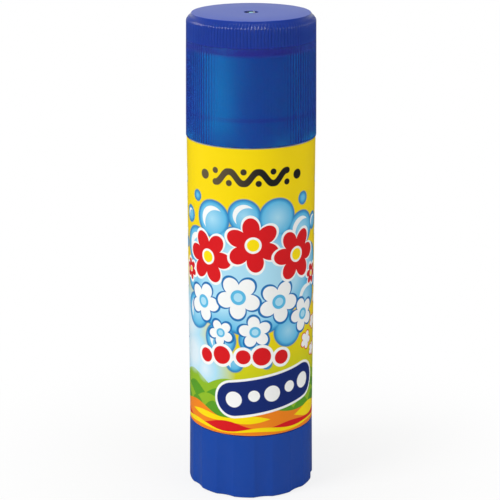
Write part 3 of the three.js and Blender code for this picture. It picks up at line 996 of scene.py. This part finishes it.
class GLUESTICK_OT_inner(Operator):
    """Give the screw and the carrier their moulded finish"""

    bl_idname = "glue_stick.inner"
    bl_label = "Screw and Carrier"

    def execute(self, context):
        wish = settings(context, "barrel")
        material = white_plastic("Inner Plastic", tuple(wish.colour), 0.45, 0.8 * MM)
        for name in ("screw", "carrier"):
            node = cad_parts[name]
            node.data.materials.clear()
            node.data.materials.append(material)
        return {"FINISHED"}


class GLUESTICK_OT_glue(Operator):
    """Make the stick of glue with its rounded end and its four grooves"""

    bl_idname = "glue_stick.glue"
    bl_label = "Glue"

    def execute(self, context):
        wish = settings(context, "barrel")
        cup_rim = glue_foot + 6.3
        cast = slide_radius - 1.1
        nut_bore = 5.4 + CAST_GAP
        screw_bore = 3.5 + CAST_GAP
        grooved = keyed(slide_radius, KEY_HALF_WIDTH + SLIDE_GAP)
        levels = [
            (slide_radius * 0.4, glue_head),
            (slide_radius - 1.2, glue_head, 0.3),
            (grooved, glue_head - 0.7, 0.3),
            (grooved, cup_rim, 0.1),
            (cast, cup_rim),
            (cast, glue_foot),
            (nut_bore, glue_foot),
            (nut_bore, nut_top + CAST_GAP),
            (screw_bore, nut_top + CAST_GAP),
            (screw_bore, screw_tip - CAST_GAP),
            (2.4, screw_tip + CAST_GAP),
        ]
        bm = turned(levels)
        material = white_plastic("Glue Solid", tuple(wish.glue_colour), 0.5, 2.0 * MM)
        finished(bm, "Glue", "glue", "carrier", "glue_solid", material)
        return {"FINISHED"}


class GLUESTICK_OT_label(Operator):
    """Wrap the printed label round the barrel, lapped over itself at the back"""

    bl_idname = "glue_stick.label"
    bl_label = "Label"

    def execute(self, context):
        wish = settings(context, "label")
        thickness, lap_rise = 0.1, 0.15
        head = barrel_radius + 0.05
        foot = head - BARREL_TAPER
        climb_angle = 1.5 / barrel_radius
        span = TAU + wish.overlap / MM / barrel_radius
        turn = Matrix.Rotation(span / ROUND, 3, "Z")

        def lift(step):
            """How far the outer end has climbed onto the inner one."""
            climb = (span * step / ROUND - TAU + climb_angle) / climb_angle
            climb = min(max(climb, 0.0), 1.0)
            return lap_rise * climb * climb * (3 - 2 * climb)

        bm = bmesh.new()
        section = (
            (foot, label_foot),
            (foot + thickness, label_foot),
            (head + thickness, label_head),
            (head, label_head),
        )
        ring = [bm.verts.new(Vector((0.0, radius, height)) * MM) for radius, height in section]
        edges = first = [bm.edges.new((ring[k], ring[(k + 1) % 4])) for k in range(4)]
        along = dict.fromkeys(ring, 0.0)
        for step in range(1, ROUND + 1):
            ring, edges = grown(bm, edges)
            bmesh.ops.rotate(bm, verts=ring, cent=(0, 0, 0), matrix=turn)
            way = Vector((ring[0].co.x, ring[0].co.y, 0)).normalized()
            rise = lift(step) - lift(step - 1)
            bmesh.ops.translate(bm, verts=ring, vec=way * rise * MM)
            along.update(dict.fromkeys(ring, step / ROUND))
        for loop in (first, edges):
            bmesh.ops.edgeloop_fill(bm, edges=loop)
        bmesh.ops.recalc_face_normals(bm, faces=bm.faces)
        strip = bm.loops.layers.uv.new("Strip")
        tall = (label_head - label_foot) * MM
        for face in bm.faces:
            middle = face.calc_center_median()
            outwards = Vector((middle.x, middle.y, 0)).normalized().dot(face.normal)
            face.material_index = 1 if outwards < -0.5 else 0
            for corner in face.loops:
                height = (corner.vert.co.z - label_foot * MM) / tall
                corner[strip].uv = (along[corner.vert], height)
        length, front = span * label_radius, math.pi * label_radius
        design = label_print(tuple(wish.ground), length, tall / MM, front)
        film = white_plastic("Label Film", WHITE, 0.35, 0.1 * MM)
        finished(bm, "Label", "label", "barrel", "label_film", design, film)
        return {"FINISHED"}


class GLUESTICK_OT_knob(Operator):
    """Make the fluted knob with its recess, hub and webs"""

    bl_idname = "glue_stick.knob"
    bl_label = "Knob"

    def execute(self, context):
        wish = settings(context, "knob")
        foot_depth, head_depth = wish.foot_depth / MM, wish.head_depth / MM
        head_radius = knob_radius - 0.18
        half_angle, turn = math.radians(8.5), math.radians(-6.5)
        recess, ring_radius = 0.6, 10.25
        floor_top = 2.0
        inside = head_radius - 1.3
        hub, hub_top = 5.4, FLOOR_BOTTOM - TURN_GAP
        spline_count, spline_radius, spline_depth = 8, 3.7, 0.4

        def fluted(share):
            """The side at a share of the height, hollow at each flute."""
            depth = foot_depth + (head_depth - foot_depth) * share
            outer = knob_radius + (head_radius - knob_radius) * share

            def radius(angle):
                off = off_pitch(angle, wish.flute_count, turn)
                return outer - depth * max(1 - (off / half_angle) ** 2, 0.0)

            return radius

        def splined(angle):
            between = off_pitch(angle, spline_count) > TAU / spline_count / 4
            return spline_radius - spline_depth * between

        levels = [
            (2.0, recess),
            (ring_radius, recess),
            (ring_radius, 0.0, 0.15),
            (fluted(0.0), 0.0, 0.45),
            (fluted(0.25), knob_head * 0.25),
            (fluted(0.5), knob_head * 0.5),
            (fluted(0.75), knob_head * 0.75),
            (fluted(1.0), knob_head, 0.2),
            (inside, knob_head, 0.12),
            (inside, floor_top, 0.3),
            (hub, floor_top, 0.3),
            (hub, hub_top, 0.15),
            (splined, hub_top),
            (splined, floor_top),
        ]
        bm = united(turned(levels), self.webs(hub, inside))
        material = knob_plastic(tuple(wish.colour))
        finished(bm, "Knob", "knob", "knob", "knob_plastic", material)
        return {"FINISHED"}

    def webs(self, hub, inside):
        """Six upright webs that run into the hub, the side and the floor of the knob."""
        count, thickness, foot, head, lap = 6, 1.0, 1.3, 6.0, 0.2
        bm = bmesh.new()
        size = Matrix.Diagonal((inside - hub + 2 * lap, thickness, head - foot)).to_4x4()
        middle = ((inside + hub) / 2, 0.0, (head + foot) / 2)
        for k in range(count):
            web = bmesh.ops.create_cube(bm, size=1.0)["verts"]
            turn = Matrix.Rotation(k * TAU / count, 3, "Z")
            bmesh.ops.transform(bm, matrix=size, verts=web)
            bmesh.ops.translate(bm, vec=middle, verts=web)
            bmesh.ops.scale(bm, vec=(MM, MM, MM), verts=web)
            bmesh.ops.rotate(bm, cent=(0, 0, 0), matrix=turn, verts=web)
        return bm


class GLUESTICK_OT_stage(Operator):
    """Set up the floor, the white surroundings, the soft lights and the camera"""

    bl_idname = "glue_stick.stage"
    bl_label = "Stage"

    def execute(self, context):
        wish = settings(context, "stage")
        scene = context.scene
        scene.view_settings.view_transform = "Standard"
        self.floor(scene, wish.floor_size)
        self.surroundings(scene)
        self.light(scene, "Key", wish.key_power, (-0.85, -0.53, 0.7), 0.5, 0.6)
        self.light(scene, "Fill", wish.fill_power, (0.8, -0.5, 0.35), 0.6, 0.6)
        self.light(scene, "Top", wish.top_power, (0.0, 0.1, 1.2), 0.8, 0.8)
        camera = bpy.data.objects.new("Camera", bpy.data.cameras.new("Camera"))
        camera.data.lens = CAMERA_LENS
        camera.data.clip_start = 0.01
        camera.location = CAMERA_PLACE
        camera.rotation_euler = (CAMERA_TILT, 0.0, 0.0)
        scene.collection.objects.link(camera)
        scene.camera = camera
        return {"FINISHED"}

    def floor(self, scene, size):
        """A square floor just under the ring that the stick stands on."""
        below = 0.05 * MM
        bm = bmesh.new()
        bmesh.ops.create_grid(bm, x_segments=1, y_segments=1, size=size / 2)
        bmesh.ops.translate(bm, verts=bm.verts, vec=(0, 0, -below))
        mesh = bpy.data.meshes.new("Floor")
        bm.to_mesh(mesh)
        bm.free()
        mesh.materials.append(floor_white())
        floor = bpy.data.objects.new("Floor", mesh)
        scene.collection.objects.link(floor)

    def surroundings(self, scene):
        """White to the camera, and to reflections dimmer in front of the object than behind it."""
        world = bpy.data.worlds.new("Studio")
        world.use_nodes = True
        sky = Nodes(world.node_tree)
        path = sky.add("ShaderNodeLightPath").outputs
        way = sky.add("ShaderNodeSeparateXYZ")
        sky.wire(sky.add("ShaderNodeTexCoord").outputs["Generated"], way.inputs[0])
        behind = sky.ramp(way.outputs["Y"], 0.2, 0.9, FRONT_GLOW, BACK_GLOW)
        glow = sky.number(path["Is Transmission Ray"], AMBIENT, THROUGH_GLOW)
        glow = sky.number(path["Is Glossy Ray"], glow, behind)
        background = sky.tree.nodes["Background"]
        sky.wire((1.0, 1.0, 1.0), background.inputs["Color"])
        strength = sky.math("MAXIMUM", glow, path["Is Camera Ray"])
        sky.wire(strength, background.inputs["Strength"])
        scene.world = world

    def light(self, scene, name, power, place, width, height):
        """A rectangle of light that faces the stick's middle."""
        middle = Vector((0.0, 0.0, 0.05))
        data = bpy.data.lights.new(name, "AREA")
        data.shape = "RECTANGLE"
        data.energy = power
        data.size = width
        data.size_y = height
        lamp = bpy.data.objects.new(name, data)
        lamp.location = place
        aim = middle - Vector(place)
        lamp.rotation_euler = aim.to_track_quat("-Z", "Y").to_euler()
        scene.collection.objects.link(lamp)


class GLUESTICK_PT_panel(Panel):
    """Lists the pieces with their settings"""

    bl_idname = "GLUESTICK_PT_panel"
    bl_label = "Glue Stick"
    bl_space_type = "VIEW_3D"
    bl_region_type = "UI"
    bl_category = "Glue Stick"

    def draw(self, context):
        for group, operators in PANEL_ROWS:
            box = self.layout.box()
            for name in SETTINGS[group].__annotations__:
                box.prop(settings(context, group), name)
            for operator in operators:
                box.operator(operator.bl_idname)


SETTINGS = {
    "cap": CapSettings,
    "barrel": BarrelSettings,
    "label": LabelSettings,
    "knob": KnobSettings,
    "stage": StageSettings,
}
PANEL_ROWS = (
    ("cap", (GLUESTICK_OT_cap,)),
    ("barrel", (GLUESTICK_OT_barrel, GLUESTICK_OT_inner, GLUESTICK_OT_glue)),
    ("label", (GLUESTICK_OT_label,)),
    ("knob", (GLUESTICK_OT_knob,)),
    ("stage", (GLUESTICK_OT_stage,)),
)
OPERATORS = tuple(operator for _, operators in PANEL_ROWS for operator in operators)


def register():
    for group in SETTINGS.values():
        bpy.utils.register_class(group)
    for operator in OPERATORS:
        bpy.utils.register_class(operator)
    bpy.utils.register_class(GLUESTICK_PT_panel)
    for name, group in SETTINGS.items():
        setattr(bpy.types.Scene, "glue_stick_" + name, PointerProperty(type=group))


def unregister():
    for name in SETTINGS:
        delattr(bpy.types.Scene, "glue_stick_" + name)
    bpy.utils.unregister_class(GLUESTICK_PT_panel)
    for operator in reversed(OPERATORS):
        bpy.utils.unregister_class(operator)
    for group in reversed(SETTINGS.values()):
        bpy.utils.unregister_class(group)


def main():
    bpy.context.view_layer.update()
    register()
    for operator in OPERATORS:
        group, name = operator.bl_idname.split(".")
        getattr(getattr(bpy.ops, group), name)()


if __name__ == "__main__":
    main()
